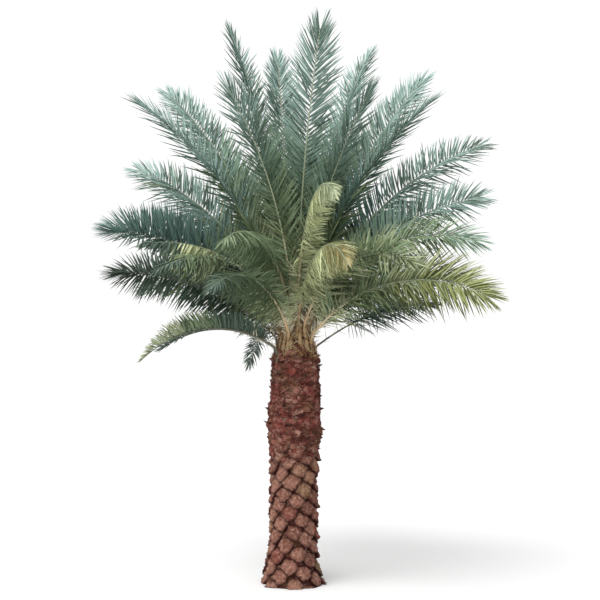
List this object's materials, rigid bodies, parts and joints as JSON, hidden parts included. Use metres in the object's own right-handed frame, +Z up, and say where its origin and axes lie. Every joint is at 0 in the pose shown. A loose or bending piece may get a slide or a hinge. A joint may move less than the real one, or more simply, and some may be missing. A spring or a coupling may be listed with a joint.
{
  "type": "date palm tree",
  "caption": "Young date palm with a stout scarred trunk, flared at the foot, under a full round crown of arching feather fronds.",
  "frame": {"origin": "middle of the flat cut under the trunk, at ground level", "axes": "+Z up along the trunk, +X to the right and -Y towards a viewer who stands in front"},
  "size_m": [4.1795, 4.0026, 5.5885],
  "materials": {
    "trunk_bark": "weathered stubs of old leaf bases, with fibre between them",
    "leaf_stalk": "smooth waxy stalks and ribs",
    "young_leaf": "waxy blue-green leaflets",
    "blue_green_leaf": "waxy blue-green leaflets",
    "green_leaf": "waxy green leaflets",
    "sunlit_leaf": "waxy yellow-green leaflets",
    "shaded_leaf": "waxy dark green leaflets"
  },
  "bodies": {
    "root": {"trunk": "trunk_bark", "spear": "leaf_stalk", "frond_inner_1": "young_leaf", "frond_inner_2": "young_leaf", "frond_inner_3": "young_leaf", "frond_inner_4": "young_leaf", "frond_inner_5": "young_leaf", "frond_inner_6": "young_leaf", "frond_upper_1": "blue_green_leaf", "frond_upper_2": "blue_green_leaf", "frond_upper_3_stalk": "blue_green_leaf", "frond_upper_3_tip": "blue_green_leaf", "frond_upper_4": "blue_green_leaf", "frond_upper_5": "blue_green_leaf", "frond_upper_6": "blue_green_leaf", "frond_upper_7": "blue_green_leaf", "frond_upper_8": "blue_green_leaf", "frond_middle_1": "green_leaf", "frond_middle_2": "green_leaf", "frond_middle_3_stalk": "green_leaf", "frond_middle_3_tip": "green_leaf", "frond_middle_4_stalk": "green_leaf", "frond_middle_4_tip": "green_leaf", "frond_middle_5_stalk": "green_leaf", "frond_middle_5_tip": "green_leaf", "frond_middle_6_stalk": "green_leaf", "frond_middle_6_tip": "green_leaf", "frond_middle_7_stalk": "green_leaf", "frond_middle_7_tip": "green_leaf", "frond_middle_8": "green_leaf", "frond_middle_9": "green_leaf", "frond_middle_10": "green_leaf", "frond_middle_11": "green_leaf", "frond_middle_12": "green_leaf", "frond_middle_13": "green_leaf", "frond_lower_1_stalk": "sunlit_leaf", "frond_lower_1_tip": "sunlit_leaf", "frond_lower_2_stalk": "sunlit_leaf", "frond_lower_2_tip": "sunlit_leaf", "frond_lower_3_stalk": "sunlit_leaf", "frond_lower_3_tip": "sunlit_leaf", "frond_lower_4_stalk": "sunlit_leaf", "frond_lower_4_tip": "sunlit_leaf", "frond_lower_5": "sunlit_leaf", "frond_lower_6": "sunlit_leaf", "frond_lower_7": "sunlit_leaf", "frond_lower_8": "sunlit_leaf", "frond_lower_9": "sunlit_leaf", "frond_lower_10": "sunlit_leaf", "frond_bottom_1": "shaded_leaf", "frond_bottom_2_stalk": "shaded_leaf", "frond_bottom_2_tip": "shaded_leaf", "frond_bottom_3_stalk": "shaded_leaf", "frond_bottom_3_tip": "shaded_leaf", "frond_bottom_4": "shaded_leaf", "frond_bottom_5": "shaded_leaf"}
  },
  "joints": []
}
